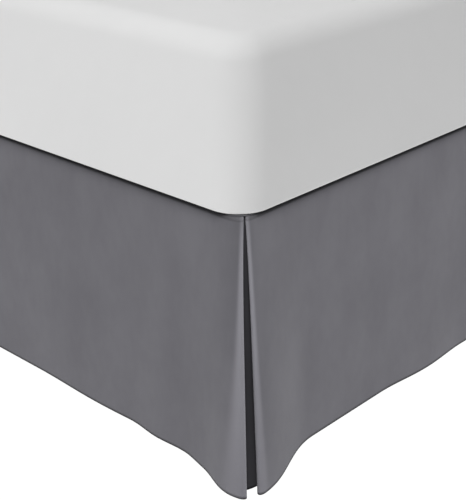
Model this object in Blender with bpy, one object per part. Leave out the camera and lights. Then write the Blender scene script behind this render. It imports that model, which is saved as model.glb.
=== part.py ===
"""Queen bed skirt with inverted corner pleats, hanging on its bed, as solids in metres.

The skirt is a flat deck panel that lies between the box spring and the mattress, three drops that hang
from the deck's edge (left, foot and right; the head is open), and a pleat panel behind the slit at each
foot corner. The mattress, the box spring and six plain legs carry it.

+Z is up, +Y runs from the foot to the head, and +X is to the right seen from the foot. The origin is on
the floor, in the middle of the object's outline.

Each drop is worked out in flat coordinates of its own: "along" is the distance from the sharp corner
where two mattress faces would meet, and "outward" is the distance out of the mattress face. A thread
runs straight from the seam to the hem, and "share" is how far down its thread a point lies, from 0 to 1.
"""

import math
from collections import namedtuple

import bpy
import numpy as np

# Mattress: 60 x 80 in, with soft corners
MATTRESS_WIDTH = 1.524
MATTRESS_LENGTH = 2.032
MATTRESS_SIDE = 0.228
MATTRESS_CROWN = 0.012
MATTRESS_CORNER = 0.050
MATTRESS_FOOT_ROUND = 0.005
MATTRESS_SHOULDER = 0.034
MATTRESS_BULGE = 0.003
CROWN_MARGIN = 0.30

# Box spring and legs
BOX_INSET = 0.0150
BOX_CORNER = 0.025
BOX_HEIGHT = 0.203
BOX_EDGE = 0.006
LEG_TOP_RADIUS = 0.030
LEG_FOOT_RADIUS = 0.022
LEG_INSET_X = 0.080
LEG_INSET_Y = 0.110
LEG_SIDES = 24

# Skirt
DROP_LENGTH = 0.381
HEM_CLEARANCE = 0.0035
CLOTH = 0.0012
OVERHANG = 0.007
SEAM_RADIUS = 0.025
LAYER_PITCH = 0.0022
GAP = 0.0003
SLANT_EASE = 0.0002
DROP_LEAN = 0.003
HANG_CURVE = 0.90
PLEAT_CURVE = 1.3
CORNER_FADE = 6
HEAD_END_GAP = 0.060
ROWS = 7
ROW_CURVE = 1.5

# The pleat and the bell of cloth beside its slit
PLEAT_DEPTH = 0.100
SLIT_SHIFT = 0.0056
SLIT_HALF_TOP = 0.00085
BELL_ZONE = 0.150
FLARE_REACH = 0.0375
FOLD_RADIUS_TOP = LAYER_PITCH / 2
FOLD_RADIUS_HEM = 0.0050
FOLD_GROWTH = 0.8
RETURN_HEM_SHARE = 0.47
PLEAT_HEM_SHARE = 0.45

SIDE_X = MATTRESS_WIDTH / 2
FOOT_Y = -(MATTRESS_LENGTH - FLARE_REACH) / 2
HEAD_Y = FOOT_Y + MATTRESS_LENGTH
SEAM_Z = DROP_LENGTH + HEM_CLEARANCE
DECK_TOP_Z = SEAM_Z + GAP + CLOTH
MATTRESS_Z = DECK_TOP_Z + GAP
DROP_INSET = OVERHANG + CLOTH / 2
PLEAT_INSET = DROP_INSET + 2 * LAYER_PITCH
CORNER_START = DROP_INSET + SEAM_RADIUS
CORNER_MIDDLE = CORNER_START - SEAM_RADIUS * math.pi / 4
EDGE_BACK = SLIT_HALF_TOP + CLOTH / 2

# A fold stands out at the hem by reach, at its distance along the drop, and fades over half_width.
Fold = namedtuple("Fold", "along half_width reach")

# A drop's turned edge beside the slit: the thread at which it leaves the seam, and where it hangs at the
# hem. The slit lies a little round the corner, towards the long side.
Edge = namedtuple("Edge", "thread hem")
SIDE_EDGE = Edge(CORNER_MIDDLE + SLIT_SHIFT + EDGE_BACK, -0.0127)
FOOT_EDGE = Edge(CORNER_MIDDLE - SLIT_SHIFT + EDGE_BACK, -0.0361)

RIGHT_FOLDS = (
    Fold(-0.008, 0.154, 0.042),
    Fold(0.420, 0.110, 0.008),
    Fold(0.560, 0.170, 0.005),
    Fold(0.860, 0.200, 0.009),
    Fold(1.180, 0.180, 0.005),
    Fold(1.490, 0.220, 0.010),
    Fold(1.860, 0.190, 0.006),
)
LEFT_FOLDS = (
    Fold(-0.010, 0.160, 0.041),
    Fold(0.330, 0.130, 0.007),
    Fold(0.690, 0.200, 0.010),
    Fold(1.060, 0.180, 0.006),
    Fold(1.380, 0.210, 0.009),
    Fold(1.800, 0.230, 0.008),
)
FOOT_FOLDS = (
    Fold(-0.009, 0.067, 0.011),
    Fold(-0.009, 0.163, 0.026),
    Fold(0.158, 0.070, 0.008),
    Fold(0.300, 0.150, 0.004),
    Fold(0.850, 0.210, 0.009),
    Fold(1.200, 0.160, 0.006),
    Fold(MATTRESS_WIDTH + 0.009, 0.080, 0.012),
    Fold(MATTRESS_WIDTH + 0.009, 0.175, 0.025),
)
# The pleat panel's hem: a bell narrower than the drops' own, with a dent beside its middle
PLEAT_FOLDS = (
    Fold(0.000, 0.115, 0.009),
    Fold(0.002, 0.038, 0.043),
    Fold(0.008, 0.012, -0.007),
)

SKIRT_GREY = (0.150, 0.147, 0.165)
SHEET_WHITE = (0.72, 0.72, 0.72)
TICKING_GREY = (0.55, 0.54, 0.52)
LEG_BLACK = (0.03, 0.03, 0.03)


def clear_scene():
    """Removes every object that the file opens with."""
    for obj in list(bpy.data.objects):
        bpy.data.objects.remove(obj)


def material(name, colour, roughness):
    """A Principled material of one plain colour."""
    made = bpy.data.materials.new(name)
    made.use_nodes = True
    shader = made.node_tree.nodes["Principled BSDF"]
    shader.inputs["Base Color"].default_value = (*colour, 1.0)
    shader.inputs["Roughness"].default_value = roughness
    shader.inputs["Metallic"].default_value = 0.0
    return made


def add_object(name, points, faces, finish):
    """One named mesh object, shaded smooth, with its finish."""
    mesh = bpy.data.meshes.new(name)
    mesh.from_pydata([tuple(point) for point in points], [], faces)
    mesh.materials.append(finish)
    mesh.shade_smooth()
    mesh.set_sharp_from_angle(angle=math.radians(35))
    obj = bpy.data.objects.new(name, mesh)
    bpy.context.scene.collection.objects.link(obj)
    return obj


def bump(distance, half_width):
    """A raised cosine: 1 at no distance, falling smoothly to 0 at half_width."""
    share = np.clip(np.abs(distance) / half_width, 0, 1)
    return 0.5 * (1 + np.cos(math.pi * share))


def hem_reach(along, folds):
    """How far outward a hem hangs at these distances along it: the lean and the folds added up."""
    return DROP_LEAN + sum(fold.reach * bump(along - fold.along, fold.half_width) for fold in folds)


def seam_line(thread):
    """(along, outward) of a drop's seam: straight, then round the deck's soft corner."""
    angle = np.clip(CORNER_START - thread, 0, None) / SEAM_RADIUS
    along = np.maximum(thread, CORNER_START) - SEAM_RADIUS * np.sin(angle)
    return np.stack([along, SEAM_RADIUS * np.cos(angle) - CORNER_START], axis=-1)


def hem_along(thread, edge):
    """Where threads reach the hem: those of the bell lean towards the slit, the more the nearer to it."""
    nearness = np.clip((BELL_ZONE - thread) / (BELL_ZONE - edge.thread), 0, None)
    return thread - (edge.thread - edge.hem) * nearness**2


def drop_plan(thread, share, edge, folds):
    """(along, outward) of points on a drop: from a straight seam to the hem, with a soft corner at the top.

    The seam's round corner fades out a little way down, because the cloth hangs flat below it.
    """
    straight = np.stack([thread, np.full(thread.shape, -DROP_INSET)], axis=-1)
    at_hem = hem_along(thread, edge)
    hem = np.stack([at_hem, hem_reach(at_hem, folds)], axis=-1)
    hung = straight + (hem - straight) * (share**HANG_CURVE)[..., None]
    return hung + (seam_line(thread) - straight) * ((1 - share) ** CORNER_FADE)[..., None]


def drop_directions(thread, share, edge, folds):
    """Unit directions in plan at points on a drop: ahead towards the slit, and inward from the cloth."""
    step = 0.0005
    ahead = drop_plan(thread - step, share, edge, folds) - drop_plan(thread + step, share, edge, folds)
    ahead /= np.linalg.norm(ahead, axis=-1, keepdims=True)
    return ahead, np.stack([-ahead[..., 1], ahead[..., 0]], axis=-1)


def bell_plan(edge, folds, share):
    """A drop's plan from the inner end of its return, round the turned edge, to the end of its bell.

    The return lies behind the drop by two fold radii at the turned edge, and closes up to it further in.
    The last flat thread lies one fold radius short of the edge, counted where the threads have spread.
    """
    growth = (FOLD_RADIUS_HEM - FOLD_RADIUS_TOP) * share**FOLD_GROWTH
    spread = 1 + 2 * share * (edge.thread - edge.hem) / (BELL_ZONE - edge.thread)
    last = edge.thread + (FOLD_RADIUS_TOP + growth) / spread

    depth = np.linspace(PLEAT_DEPTH, 0, 9)
    thread = last + depth * (1 - (1 - RETURN_HEM_SHARE) * share)
    inward = drop_directions(thread, share, edge, folds)[1]
    behind = 2 * (FOLD_RADIUS_TOP + growth * (1 - depth / PLEAT_DEPTH))
    back = drop_plan(thread, share, edge, folds) + inward * behind[..., None]

    radius = (FOLD_RADIUS_TOP + growth)[..., None]
    ahead, inward = drop_directions(last, share, edge, folds)
    angle = np.radians(np.arange(150, 0, -30))[None, :, None]
    turn = drop_plan(last, share, edge, folds)
    turn = turn + inward * radius * (1 - np.cos(angle)) + ahead * radius * np.sin(angle)

    front = last + (BELL_ZONE - last) * np.linspace(0, 1, 15) ** 1.3
    return np.concatenate([back, turn, drop_plan(front, share, edge, folds)], axis=1)


def straight_plan(end, edge, folds, share):
    """A drop's plan past its bell, with threads about 55 mm apart."""
    count = round((end - BELL_ZONE) / 0.055)
    thread = np.linspace(BELL_ZONE, end, count + 1)[1:]
    return drop_plan(thread, share, edge, folds)


def hang(plan, share):
    """Gives a plan its heights. The hem hangs level, also where the bells lean out.

    The top lies lower by a little, because the upper edge of a slanted cloth rises at one face.
    """
    height = SEAM_Z - SLANT_EASE - DROP_LENGTH * share
    return np.concatenate([plan, np.broadcast_to(height, plan.shape[:2])[..., None]], axis=-1)


def add_sheet(name, points, finish):
    """A cloth of even thickness on a grid of points."""
    rows, columns = points.shape[:2]
    index = np.arange(rows * columns).reshape(rows, columns)
    quads = np.stack([index[:-1, :-1], index[:-1, 1:], index[1:, 1:], index[1:, :-1]], axis=-1)
    obj = add_object(name, points.reshape(-1, 3), quads.reshape(-1, 4).tolist(), finish)
    thicken = obj.modifiers.new("Cloth thickness", "SOLIDIFY")
    thicken.thickness = CLOTH
    thicken.offset = 0.0
    thicken.use_even_offset = True
    return obj


def shares():
    """Shares of the way down, closer together near the seam, as a column beside a row of threads."""
    return np.linspace(0, 1, ROWS)[:, None] ** ROW_CURVE


def add_side_drop(name, sign, folds, finish):
    """A side drop, from the pleat at the foot corner to its free end at the head. sign is 1 on the right."""
    share = shares()
    near = bell_plan(SIDE_EDGE, folds, share)
    far = straight_plan(MATTRESS_LENGTH - HEAD_END_GAP, SIDE_EDGE, folds, share)
    hung = hang(np.concatenate([near, far], axis=1), share)
    along, outward, height = np.moveaxis(hung, -1, 0)
    points = np.stack([sign * (SIDE_X + outward), FOOT_Y + along, height], axis=-1)
    return add_sheet(name, points[:, ::sign], finish)


def add_foot_drop(finish):
    """The foot drop, with a pleat at both of its ends. Its threads are counted from the right corner."""
    share = shares()
    mirrored = tuple(fold._replace(along=MATTRESS_WIDTH - fold.along) for fold in FOOT_FOLDS)
    near = bell_plan(FOOT_EDGE, FOOT_FOLDS, share)
    middle = straight_plan(MATTRESS_WIDTH - BELL_ZONE, FOOT_EDGE, FOOT_FOLDS, share)
    far = bell_plan(FOOT_EDGE, mirrored, share)[:, ::-1]
    far[..., 0] = MATTRESS_WIDTH - far[..., 0]
    hung = hang(np.concatenate([near, middle[:, :-1], far], axis=1), share)
    along, outward, height = np.moveaxis(hung, -1, 0)
    points = np.stack([SIDE_X - along, FOOT_Y - outward, height], axis=-1)
    return add_sheet("drop_foot", points[:, ::-1], finish)


def pleat_line(travel):
    """(x, y) of the pleat panel's seam from the sharp corner, and its outward directions.

    travel is the distance along it from the corner's middle, towards the side where it is positive.
    """
    turn = np.clip(travel / SEAM_RADIUS, -math.pi / 4, math.pi / 4)
    bearing = turn - math.pi / 4
    outward = np.stack([np.cos(bearing), np.sin(bearing)], axis=-1)
    ahead = np.stack([-outward[..., 1], outward[..., 0]], axis=-1)
    straight = (travel - turn * SEAM_RADIUS)[..., None]
    centre = np.array([-CORNER_START, CORNER_START])
    return centre + outward * (CORNER_START - PLEAT_INSET) + ahead * straight, outward


def add_pleat(name, sign, finish):
    """The pleat panel behind a corner's slit, narrower at its hem. sign is 1 on the right."""
    share = shares()
    travel = np.linspace(-PLEAT_DEPTH, PLEAT_DEPTH, 29)
    seam = pleat_line(travel + SLIT_SHIFT)[0]
    base, outward = pleat_line(travel * PLEAT_HEM_SHARE)
    hem = base + outward * hem_reach(travel * PLEAT_HEM_SHARE, PLEAT_FOLDS)[:, None]
    hung = hang(seam + (hem - seam) * share[..., None] ** PLEAT_CURVE, share)
    x, y, height = np.moveaxis(hung, -1, 0)
    points = np.stack([sign * (SIDE_X + x), FOOT_Y + y, height], axis=-1)
    return add_sheet(name, points[:, ::sign], finish)


def rounded_rectangle(half_x, low_y, high_y, radius, per_corner, per_side):
    """(x, y) points round a rectangle with round corners, anticlockwise, with per_side more on each side."""
    centres = (
        (half_x - radius, low_y + radius, -90),
        (half_x - radius, high_y - radius, 0),
        (-half_x + radius, high_y - radius, 90),
        (-half_x + radius, low_y + radius, 180),
    )
    arcs = []
    for x, y, start in centres:
        angles = np.radians(start + np.linspace(0, 90, per_corner + 1))
        arcs.append(np.stack([x + radius * np.cos(angles), y + radius * np.sin(angles)], axis=1))
    outline = []
    for arc, after in zip(arcs, arcs[1:] + arcs[:1]):
        outline.append(arc)
        share = np.linspace(0, 1, per_side + 2)[1:-1, None]
        outline.append(arc[-1] + (after[0] - arc[-1]) * share)
    return np.concatenate(outline)


def add_ringed(name, rings, finish):
    """A closed solid from rings of points that all have one count, from the bottom up, with flat ends."""
    count = len(rings[0])
    faces = [list(range(count))[::-1]]
    for level in range(len(rings) - 1):
        for k in range(count):
            after = (k + 1) % count
            low, high = level * count, (level + 1) * count
            faces.append([low + k, low + after, high + after, high + k])
    faces.append([(len(rings) - 1) * count + k for k in range(count)])
    return add_object(name, np.concatenate(rings), faces, finish)


def slab_rings(profile, inset, head_inset, corner, per_side=0):
    """Rings of a bed-sized slab, inset from the mattress's faces, for each (inset, height) of its profile.

    corner is the radius of its corners where the profile's own inset is 0.
    """
    rings = []
    for step, height in profile:
        radius = max(corner - step, 0.4 * corner)
        ring = rounded_rectangle(
            SIDE_X - inset - step, FOOT_Y + inset + step, HEAD_Y - head_inset - step, radius, 8, per_side
        )
        rings.append(np.column_stack([ring, np.full(len(ring), height)]))
    return rings


def add_mattress(finish):
    """The mattress: a small bottom round, a slightly full side, a soft shoulder and a low crown."""
    foot, shoulder = MATTRESS_FOOT_ROUND, MATTRESS_SHOULDER
    profile = []
    for angle in np.radians((-90, -60, -30, 0)):
        profile.append((foot * (1 - math.cos(angle)), MATTRESS_Z + foot * (1 + math.sin(angle))))
    for share in (0.25, 0.5, 0.75):
        height = MATTRESS_Z + foot + (MATTRESS_SIDE - foot - shoulder) * share
        profile.append((-MATTRESS_BULGE * math.sin(math.pi * share), height))
    for angle in np.radians((0, 18, 36, 54, 72, 90)):
        height = MATTRESS_Z + MATTRESS_SIDE - shoulder * (1 - math.sin(angle))
        profile.append((shoulder * (1 - math.cos(angle)), height))
    for share in (0.25, 0.55, 1.0):
        height = MATTRESS_Z + MATTRESS_SIDE + MATTRESS_CROWN * math.sin(math.pi / 2 * share)
        profile.append((shoulder + CROWN_MARGIN * share, height))
    return add_ringed("mattress", slab_rings(profile, 0, 0, MATTRESS_CORNER, per_side=3), finish)


def add_box_spring(finish):
    """The box spring: a plain box with soft edges, narrower than the mattress."""
    low, high = SEAM_Z - BOX_HEIGHT, SEAM_Z
    profile = [(BOX_EDGE, low), (BOX_EDGE * 0.3, low + BOX_EDGE * 0.3), (0, low + BOX_EDGE)]
    profile += [(0, high - BOX_EDGE), (BOX_EDGE * 0.3, high - BOX_EDGE * 0.3), (BOX_EDGE, high)]
    return add_ringed("box_spring", slab_rings(profile, BOX_INSET, BOX_INSET, BOX_CORNER), finish)


def add_deck(finish):
    """The deck panel, out over the drops on three sides and level with the box spring at the head."""
    profile = [(0, SEAM_Z + GAP), (0, DECK_TOP_Z)]
    return add_ringed("deck", slab_rings(profile, OVERHANG, BOX_INSET, SEAM_RADIUS + CLOTH / 2), finish)


def add_leg(name, x, y, finish):
    """A round leg that narrows to its foot."""
    angles = np.linspace(0, 2 * math.pi, LEG_SIDES, endpoint=False)
    circle = np.stack([np.cos(angles), np.sin(angles)], axis=1)
    levels = ((LEG_FOOT_RADIUS, 0.0), (LEG_TOP_RADIUS, SEAM_Z - BOX_HEIGHT - GAP))
    rings = [np.column_stack([(x, y) + circle * radius, np.full(LEG_SIDES, z)]) for radius, z in levels]
    return add_ringed(name, rings, finish)


def main():
    """Builds the whole object."""
    clear_scene()
    skirt = material("skirt_cloth", SKIRT_GREY, 0.85)
    white = material("white_sheet", SHEET_WHITE, 0.8)
    ticking = material("ticking", TICKING_GREY, 0.85)
    black = material("leg_black", LEG_BLACK, 0.5)

    add_mattress(white)
    add_box_spring(ticking)
    add_deck(skirt)
    add_side_drop("drop_right", 1, RIGHT_FOLDS, skirt)
    add_side_drop("drop_left", -1, LEFT_FOLDS, skirt)
    add_foot_drop(skirt)
    add_pleat("pleat_right", 1, skirt)
    add_pleat("pleat_left", -1, skirt)
    leg_rows = (
        ("foot", FOOT_Y + BOX_INSET + LEG_INSET_Y),
        ("middle", (FOOT_Y + HEAD_Y) / 2),
        ("head", HEAD_Y - BOX_INSET - LEG_INSET_Y),
    )
    for row, y in leg_rows:
        for side, sign in (("left", -1), ("right", 1)):
            add_leg(f"leg_{row}_{side}", sign * (SIDE_X - BOX_INSET - LEG_INSET_X), y, black)


main()
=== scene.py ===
"""Looks of a queen bed skirt with inverted corner pleats, on its box spring and mattress.

Every size is in metres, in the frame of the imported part: +Z is up, +Y runs from the foot to the head and
+X is to the right seen from the foot. The cloth is worked out in flat coordinates of its own: "along" is
the distance along a drop from the sharp corner where two mattress faces would meet, "outward" is the
distance out of the mattress face, and "share" is how far down its thread a point lies, from 0 to 1.
"""

import logging
import math
from dataclasses import dataclass, replace
from enum import Enum

import bmesh
import bpy
import numpy as np
from mathutils import Matrix, Vector


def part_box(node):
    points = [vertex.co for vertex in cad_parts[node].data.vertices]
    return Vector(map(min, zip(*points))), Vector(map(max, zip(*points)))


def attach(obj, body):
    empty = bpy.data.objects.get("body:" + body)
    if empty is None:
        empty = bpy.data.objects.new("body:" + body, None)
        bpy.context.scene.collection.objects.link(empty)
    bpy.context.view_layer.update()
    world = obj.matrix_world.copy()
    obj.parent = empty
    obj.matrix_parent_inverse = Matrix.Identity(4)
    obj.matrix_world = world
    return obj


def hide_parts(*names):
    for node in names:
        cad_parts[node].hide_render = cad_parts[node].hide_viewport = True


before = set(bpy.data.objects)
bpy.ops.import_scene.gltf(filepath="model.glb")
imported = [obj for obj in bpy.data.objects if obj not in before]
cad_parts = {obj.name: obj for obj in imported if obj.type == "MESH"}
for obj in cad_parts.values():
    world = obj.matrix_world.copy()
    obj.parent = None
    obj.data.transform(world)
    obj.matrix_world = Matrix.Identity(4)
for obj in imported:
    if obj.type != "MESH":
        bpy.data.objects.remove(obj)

LOG = logging.getLogger("bed")
BODY = "root"
CLOTH_UV = "cloth"
# Point attributes that place painted light: the painted highlight on the turned edges and the painted shade
# on the hems.
HIGHLIGHT_MASK = "painted_highlight"
NEAR_HEM = "near_hem"
HEM_REACH = 0.05  # metres over which a cloth's near_hem value falls from 1 to 0
END_SHARES = (0.0, 0.5, 0.999)  # how far the rings that close a ringed solid have shrunk
# BLACK is the colour that painted shade darkens the cloth towards.
BLACK = (0.0, 0.0, 0.0, 1.0)
WHITE = (1.0, 1.0, 1.0, 1.0)

Piece = bpy.types.Object
Socket = bpy.types.NodeSocket


class Side(Enum):
    """The side of the bed that a drop or a pleat belongs to."""

    LEFT = -1
    RIGHT = 1


class Slot(Enum):
    """The material slots."""

    SKIRT = "skirt_cloth"
    SHEET = "white_sheet"
    TICKING = "ticking"
    LEG = "leg_black"


class Lit(Enum):
    """The groups of pieces that have light of their own."""

    SKIRT = "lit_skirt"
    PLEATS = "lit_pleats"
    BED = "lit_bed"


@dataclass(frozen=True)
class Bed:
    """Where the mattress's faces, the skirt's seam and the box spring lie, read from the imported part."""

    side_x: float
    foot_y: float
    head_y: float
    seam_z: float
    mattress_z: float
    mattress_top_z: float
    box_low_z: float
    overhang: float = 0.007
    box_inset: float = 0.0150
    box_corner: float = 0.025
    corner: float = 0.050
    seam_radius: float = 0.025
    cloth: float = 0.0012

    @classmethod
    def from_frame(cls) -> "Bed":
        """Reads the bed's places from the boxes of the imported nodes."""
        deck_low, deck_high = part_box("deck")
        box_low, box_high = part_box("box_spring")
        mattress_low, mattress_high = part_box("mattress")
        return cls(
            side_x=deck_high.x + cls.overhang,
            foot_y=deck_low.y - cls.overhang,
            head_y=deck_high.y + cls.box_inset,
            seam_z=box_high.z,
            mattress_z=mattress_low.z,
            mattress_top_z=mattress_high.z,
            box_low_z=box_low.z,
        )

    @property
    def width(self) -> float:
        """Width of the mattress."""
        return 2 * self.side_x

    @property
    def length(self) -> float:
        """Length of the mattress."""
        return self.head_y - self.foot_y

    def ring(
        self, inset: float, head_inset: float, corner: float, height: float, steps: tuple[int, int]
    ) -> np.ndarray:
        """A level ring of points inside the mattress's faces, with round corners.

        Args:
            inset: Distance inside the faces of both sides and of the foot.
            head_inset: Distance inside the face of the head.
            corner: Radius of the corners.
            height: Height above the floor.
            steps: What rounded_rectangle takes as per_corner and per_side.

        Returns:
            (n, 3) points, anticlockwise seen from above.
        """
        low_y, high_y = self.foot_y + inset, self.head_y - head_inset
        plan = rounded_rectangle(self.side_x - inset, low_y, high_y, corner, *steps)
        return np.column_stack([plan, np.full(len(plan), height)])


@dataclass(frozen=True)
class Fold:
    """A soft wave of a hem: it stands out by reach at along, and fades over half_width."""

    along: float
    half_width: float
    reach: float


def bump(distance: np.ndarray, half_width: float) -> np.ndarray:
    """A raised cosine: 1 at no distance, falling smoothly to 0 at half_width and beyond.

    Args:
        distance: Distances from the middle.
        half_width: Distance at which the bump has faded out.

    Returns:
        The bump's height, from 0 to 1, in the shape of distance.
    """
    share = np.clip(np.abs(distance) / half_width, 0, 1)
    return 0.5 * (1 + np.cos(math.pi * share))


def arc(centre: tuple[float, float], radius: float, start: float, end: float, steps: int) -> np.ndarray:
    """Points on a round arc: centre plus radius times (cosine, sine) of evenly spaced angles.

    Args:
        centre: The arc's centre.
        radius: Its radius.
        start: First angle in degrees.
        end: Last angle in degrees.
        steps: Number of stretches between the points.

    Returns:
        Array of steps + 1 points.
    """
    angle = np.radians(np.linspace(start, end, steps + 1))
    return np.stack([centre[0] + radius * np.cos(angle), centre[1] + radius * np.sin(angle)], axis=1)


def unit(vectors: np.ndarray) -> np.ndarray:
    """Vectors of length 1 in the same directions, over the last axis."""
    return vectors / np.linalg.norm(vectors, axis=-1, keepdims=True)


def mesh_object(name: str, points: np.ndarray, quads: np.ndarray, uv: np.ndarray) -> Piece:
    """A smooth mesh object of quads, with a UV map in metres.

    Args:
        name: Name of the object and its mesh.
        points: (n, 3) points.
        quads: (m, 4) point numbers, anticlockwise seen from outside.
        uv: (m, 4, 2) map coordinates of each quad's corners.

    Returns:
        The new object, linked to the scene.
    """
    mesh = bpy.data.meshes.new(name)
    mesh.vertices.add(len(points))
    mesh.vertices.foreach_set("co", np.ascontiguousarray(points, np.float32).ravel())
    mesh.loops.add(quads.size)
    mesh.loops.foreach_set("vertex_index", np.ascontiguousarray(quads, np.int32).ravel())
    mesh.polygons.add(len(quads))
    mesh.polygons.foreach_set("loop_start", np.arange(0, quads.size, 4, dtype=np.int32))
    layer = mesh.uv_layers.new(name=CLOTH_UV)
    layer.uv.foreach_set("vector", np.ascontiguousarray(uv, np.float32).ravel())
    mesh.update(calc_edges=True)
    mesh.validate()
    mesh.shade_smooth()
    obj = bpy.data.objects.new(name, mesh)
    bpy.context.scene.collection.objects.link(obj)
    return obj


def grid_quads(rows: int, columns: int, closed: bool = False) -> np.ndarray:
    """Point numbers of the quads between the points of a grid that is stored row by row.

    Args:
        rows: Rows of points.
        columns: Points in a row.
        closed: Whether the last column joins the first.

    Returns:
        (m, 4) point numbers.
    """
    index = np.arange(rows * columns).reshape(rows, columns)
    after = np.roll(index, -1, axis=1) if closed else index[:, 1:]
    before = index if closed else index[:, :-1]
    return np.stack([before[:-1], after[:-1], after[1:], before[1:]], axis=-1).reshape(-1, 4)


def grid_uv(along: np.ndarray, down: np.ndarray) -> np.ndarray:
    """Map coordinates of a grid's quads, from the coordinates of its points.

    Args:
        along: (rows, columns) first coordinate, with one column more than there are points where it closes.
        down: (rows, columns) second coordinate.

    Returns:
        (m, 4, 2) coordinates in the order of grid_quads.
    """
    both = np.stack([along, down], axis=-1)
    quads = np.stack([both[:-1, :-1], both[:-1, 1:], both[1:, 1:], both[1:, :-1]], axis=2)
    return quads.reshape(-1, 4, 2)


def path_lengths(points: np.ndarray, axis: int) -> np.ndarray:
    """Distance travelled over the points along one of the grid's axes, from 0."""
    steps = np.linalg.norm(np.diff(points, axis=axis), axis=-1)
    start = np.zeros_like(np.take(steps, [0], axis=axis))
    return np.concatenate([start, np.cumsum(steps, axis=axis)], axis=axis)


def rounded_rectangle(
    half_x: float, low_y: float, high_y: float, radius: float, per_corner: int, per_side: int
) -> np.ndarray:
    """Points round a rectangle with round corners, anticlockwise: four quarter arcs joined by straight runs.

    Args:
        half_x: Half of its width.
        low_y: Its lower edge.
        high_y: Its upper edge.
        radius: Radius of its corners.
        per_corner: Stretches in each quarter arc.
        per_side: Points added inside each straight run.

    Returns:
        (n, 2) points.
    """
    runs = []
    arcs = [
        arc((half_x - radius, low_y + radius), radius, -90, 0, per_corner),
        arc((half_x - radius, high_y - radius), radius, 0, 90, per_corner),
        arc((-half_x + radius, high_y - radius), radius, 90, 180, per_corner),
        arc((-half_x + radius, low_y + radius), radius, 180, 270, per_corner),
    ]
    for corner, after in zip(arcs, arcs[1:] + arcs[:1]):
        share = np.linspace(0, 1, per_side + 2)[1:-1, None]
        runs += [corner, corner[-1] + (after[0] - corner[-1]) * share]
    return np.concatenate(runs)


def unfolded(rings: np.ndarray) -> np.ndarray:
    """Map of a sheet pulled over a ringed solid: its plan on top, carried on outwards down the sides.

    A point's place is its plan plus, outwards, how much longer its path from the top is than its plan's.

    Args:
        rings: (levels, count, 3) points from the bottom up, of which the last few close the top.

    Returns:
        (levels, count, 2) places.
    """
    outward = unit(rings[len(rings) // 2, :, :2] - rings[-len(END_SHARES), :, :2])
    downwards = rings[::-1]
    extra = (path_lengths(downwards, 0) - path_lengths(downwards[..., :2], 0))[::-1]
    return rings[..., :2] + outward * extra[..., None]


def ringed_object(name: str, rings: np.ndarray, pulled_over: bool = False) -> Piece:
    """A closed solid from level rings of points, from the bottom up, with rings of quads over each end.

    Each end is closed by rings that shrink to the middle of the end ring, as END_SHARES says.

    Args:
        name: Name of the object.
        rings: (levels, count, 3) points, anticlockwise seen from above.
        pulled_over: Whether one sheet is pulled over it, and not one wrapped round it.

    Returns:
        The new object.
    """
    end_share = np.array(END_SHARES)[:, None, None]
    low = rings[0] + (rings[0].mean(axis=0) - rings[0]) * end_share[::-1]
    high = rings[-1] + (rings[-1].mean(axis=0) - rings[-1]) * end_share
    whole = np.concatenate([low, rings[1:-1], high])
    levels, count = whole.shape[:2]
    wrapped = np.concatenate([whole, whole[:, :1]], axis=1)
    if pulled_over:
        around, up = np.moveaxis(unfolded(wrapped), -1, 0)
    else:
        around = np.broadcast_to(path_lengths(wrapped, 1).max(axis=0), (levels, count + 1))
        up = np.broadcast_to(path_lengths(wrapped, 0)[:, :1], (levels, count + 1))
    quads = grid_quads(levels, count, closed=True)
    obj = mesh_object(name, whole.reshape(-1, 3), quads, grid_uv(around, up))
    caps = [list(range(count))[::-1], list(range((levels - 1) * count, levels * count))]
    close_ends(obj, caps)
    return obj


def close_ends(obj: Piece, caps: list[list[int]]) -> None:
    """Adds the small flat faces that close a ringed solid.

    Args:
        obj: The ringed solid.
        caps: The point numbers of each face, in order.
    """
    work = bmesh.new()
    work.from_mesh(obj.data)
    work.verts.ensure_lookup_table()
    for cap in caps:
        face = work.faces.new([work.verts[k] for k in cap])
        face.smooth = True
    work.to_mesh(obj.data)
    work.free()


def stand_for(piece: Piece, slot: Slot, *nodes: str) -> None:
    """Puts a finished piece on the bed's one body, in place of these nodes of the part."""
    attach(piece, BODY)
    if nodes:
        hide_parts(*nodes)
    stands_for = ", ".join(nodes) or "nothing"
    LOG.info("%s: %d points, stands for %s", piece.name, len(piece.data.vertices), stands_for)


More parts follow.
